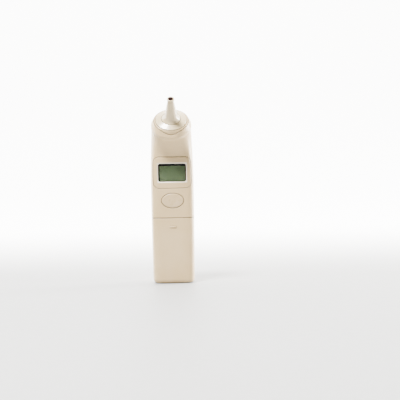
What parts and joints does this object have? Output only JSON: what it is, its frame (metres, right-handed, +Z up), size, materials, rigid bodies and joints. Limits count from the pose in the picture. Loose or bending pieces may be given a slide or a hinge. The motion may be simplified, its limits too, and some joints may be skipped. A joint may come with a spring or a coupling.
{
  "type": "infrared ear thermometer",
  "caption": "Hand-held ear thermometer: slim handle with a recessed display, oval button and slide-off battery cover, and a forward-tilted head with a tapered probe.",
  "frame": {"origin": "middle of the handle's flat bottom face", "axes": "+Z up the handle towards the head, -Y the display side, +X to the right as the display is read"},
  "size_m": [0.0388, 0.0473, 0.1674],
  "materials": {
    "casing": "semi-gloss moulded ABS, warm ivory",
    "probe_plastic": "polished moulded ABS, warm ivory",
    "window": "clear acrylic plate",
    "lcd": "grey-green reflective liquid crystal panel",
    "white_plastic": "moulded white plastic",
    "board": "green solder-masked laminate",
    "black_epoxy": "moulded black epoxy",
    "silicone": "dark silicone rubber",
    "screw_steel": "zinc-plated steel",
    "nickel": "nickel-plated spring steel",
    "aluminium": "turned aluminium",
    "gold_plate": "gold-plated brass tube",
    "lens": "dark coated silicon window",
    "cell_sleeve": "film-sleeved steel can, plain, without print",
    "flex_film": "amber polyimide film",
    "lead_red": "red insulated lead",
    "lead_black": "black insulated lead"
  },
  "bodies": {
    "handle": {"front_housing": "casing", "rear_housing": "casing", "display_bezel": "casing", "head_collar": "casing", "retaining_ring": "casing", "probe_nozzle": "probe_plastic", "probe_base_plate": "probe_plastic", "probe_lens_ring": "probe_plastic", "display_window": "window", "lcd_panel": "lcd", "lcd_holder": "white_plastic", "battery_tray": "white_plastic", "flex_connector": "white_plastic", "main_circuit_board": "board", "sensor_circuit_board": "board", "microcontroller_chip": "black_epoxy", "memory_chip": "black_epoxy", "buzzer": "black_epoxy", "tact_switch_body": "black_epoxy", "zebra_connector_lower": "silicone", "zebra_connector_upper": "silicone", "probe_seal_ring": "silicone", "board_screw_left": "screw_steel", "board_screw_right": "screw_steel", "housing_screw_lower": "screw_steel", "housing_screw_upper": "screw_steel", "thermopile_sensor": "screw_steel", "crystal_can": "nickel", "battery_bridge_contact": "nickel", "battery_contact_positive": "nickel", "battery_contact_negative": "nickel", "battery_spring_lower": "nickel", "battery_spring_upper": "nickel", "smoothing_capacitor": "aluminium", "sensor_block": "aluminium", "waveguide_tube": "gold_plate", "probe_lens": "lens", "battery_cell_left": "cell_sleeve", "battery_cell_right": "cell_sleeve", "flex_cable": "flex_film", "battery_lead_positive": "lead_red", "battery_lead_negative": "lead_black"},
    "battery_cover": {"battery_cover": "casing"},
    "start_button": {"start_button": "casing"},
    "switch_plunger": {"tact_switch_plunger": "white_plastic"}
  },
  "joints": [
    {"name": "battery_cover_slide", "type": "slide", "parent": "handle", "child": "battery_cover", "axis": [0, 0, -1], "range_m": [0, 0.062]},
    {"name": "start_button_press", "type": "slide", "parent": "handle", "child": "start_button", "axis": [0, 1, 0], "range_m": [0, 0.0008], "stiffness_N_per_m": 400, "springref_m": -0.001},
    {"name": "tact_switch_press", "type": "slide", "parent": "handle", "child": "switch_plunger", "axis": [0, 1, 0], "range_m": [0, 0.0008]}
  ],
  "couplings": [
    {"joint": "tact_switch_press", "follows": "start_button_press", "ratio": 1}
  ]
}
